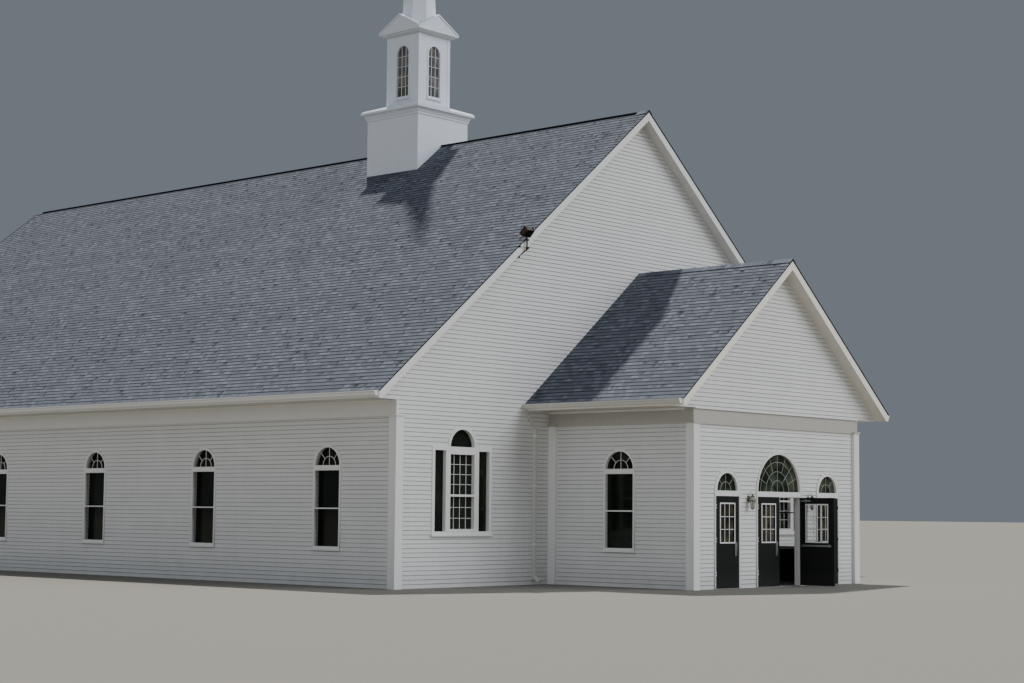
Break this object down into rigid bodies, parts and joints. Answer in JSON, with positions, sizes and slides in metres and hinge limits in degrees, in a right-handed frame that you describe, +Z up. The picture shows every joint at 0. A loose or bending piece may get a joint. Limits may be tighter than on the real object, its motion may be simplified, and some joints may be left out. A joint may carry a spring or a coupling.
{
  "type": "church building",
  "caption": "White clapboard church: gabled entrance porch with arched fanlights over doors that open, a long gabled nave and a steeple with an eight-sided spire.",
  "frame": {"origin": "on the ground in the middle of the entrance, on the plane of the porch's siding", "axes": "+Y runs into the building along its length, +X to the right seen from the front, +Z up"},
  "size_m": [19.4486, 32.3592, 23.6],
  "materials": {
    "siding": "white painted clapboard",
    "trim": "white painted boards",
    "shingle": "mineral-faced roof shingles",
    "concrete": "plain concrete",
    "door_paint": "near-black satin paint",
    "door_glass": "clear glass",
    "window_glass": "dark reflecting glass",
    "hardware": "satin",
    "pewter": "aged pewter",
    "bronze": "dark bronze paint",
    "vent": "black"
  },
  "bodies": {
    "building": {"floor": "concrete", "porch_left_wall": "siding", "porch_right_wall": "siding", "porch_left_pier": "siding", "porch_right_pier": "siding", "porch_gable_wall": "siding", "porch_trim": "trim", "porch_roof_left": "shingle", "porch_roof_right": "shingle", "porch_eaves_and_rakes": "trim", "porch_gutter_left": "trim", "porch_gutter_right": "trim", "porch_window_frame_left": "trim", "porch_window_frame_right": "trim", "porch_window_glass_left": "window_glass", "porch_window_glass_right": "window_glass", "left_door_frame": "trim", "centre_door_frame": "trim", "right_door_frame": "trim", "left_fanlight_glass": "window_glass", "centre_fanlight_glass": "window_glass", "right_fanlight_glass": "window_glass", "lantern_left": "pewter", "lantern_right": "pewter", "nave_front_wall": "siding", "nave_rear_wall": "siding", "nave_left_wall": "siding", "nave_right_wall": "siding", "nave_left_glass": "window_glass", "nave_right_glass": "window_glass", "nave_roof_left": "shingle", "nave_roof_right": "shingle", "nave_eave_left": "trim", "nave_eave_right": "trim", "nave_front_rake": "trim", "nave_rear_rake": "trim", "ridge_vent": "vent", "three_light_frame_left": "trim", "three_light_frame_right": "trim", "three_light_glass_left": "window_glass", "three_light_glass_right": "window_glass", "floodlight": "bronze", "steeple_base": "trim", "steeple_cornice": "trim", "belfry": "trim", "belfry_glass": "window_glass", "spire": "trim"},
    "left_door": {"left_door": "door_paint", "left_door_glass": "door_glass", "left_door_fittings": "hardware"},
    "centre_left_door": {"centre_left_door": "door_paint", "centre_left_door_glass": "door_glass", "centre_left_door_fittings": "hardware"},
    "centre_right_door": {"centre_right_door": "door_paint", "centre_right_door_glass": "door_glass", "centre_right_door_fittings": "hardware"},
    "right_door": {"right_door": "door_paint", "right_door_glass": "door_glass", "right_door_fittings": "hardware"}
  },
  "joints": [
    {"name": "left_door_hinge", "type": "hinge", "parent": "building", "child": "left_door", "pos_m": [-2.612, -0.03, 0], "axis": [0, 0, -1], "range_deg": [0, 110]},
    {"name": "centre_left_door_hinge", "type": "hinge", "parent": "building", "child": "centre_left_door", "pos_m": [-0.914, -0.03, 0], "axis": [0, 0, -1], "range_deg": [0, 115]},
    {"name": "centre_right_door_hinge", "type": "hinge", "parent": "building", "child": "centre_right_door", "pos_m": [0.914, -0.03, 0], "axis": [0, 0, 1], "range_deg": [-97, 18]},
    {"name": "right_door_hinge", "type": "hinge", "parent": "building", "child": "right_door", "pos_m": [2.612, -0.03, 0], "axis": [0, 0, 1], "range_deg": [0, 110]}
  ]
}
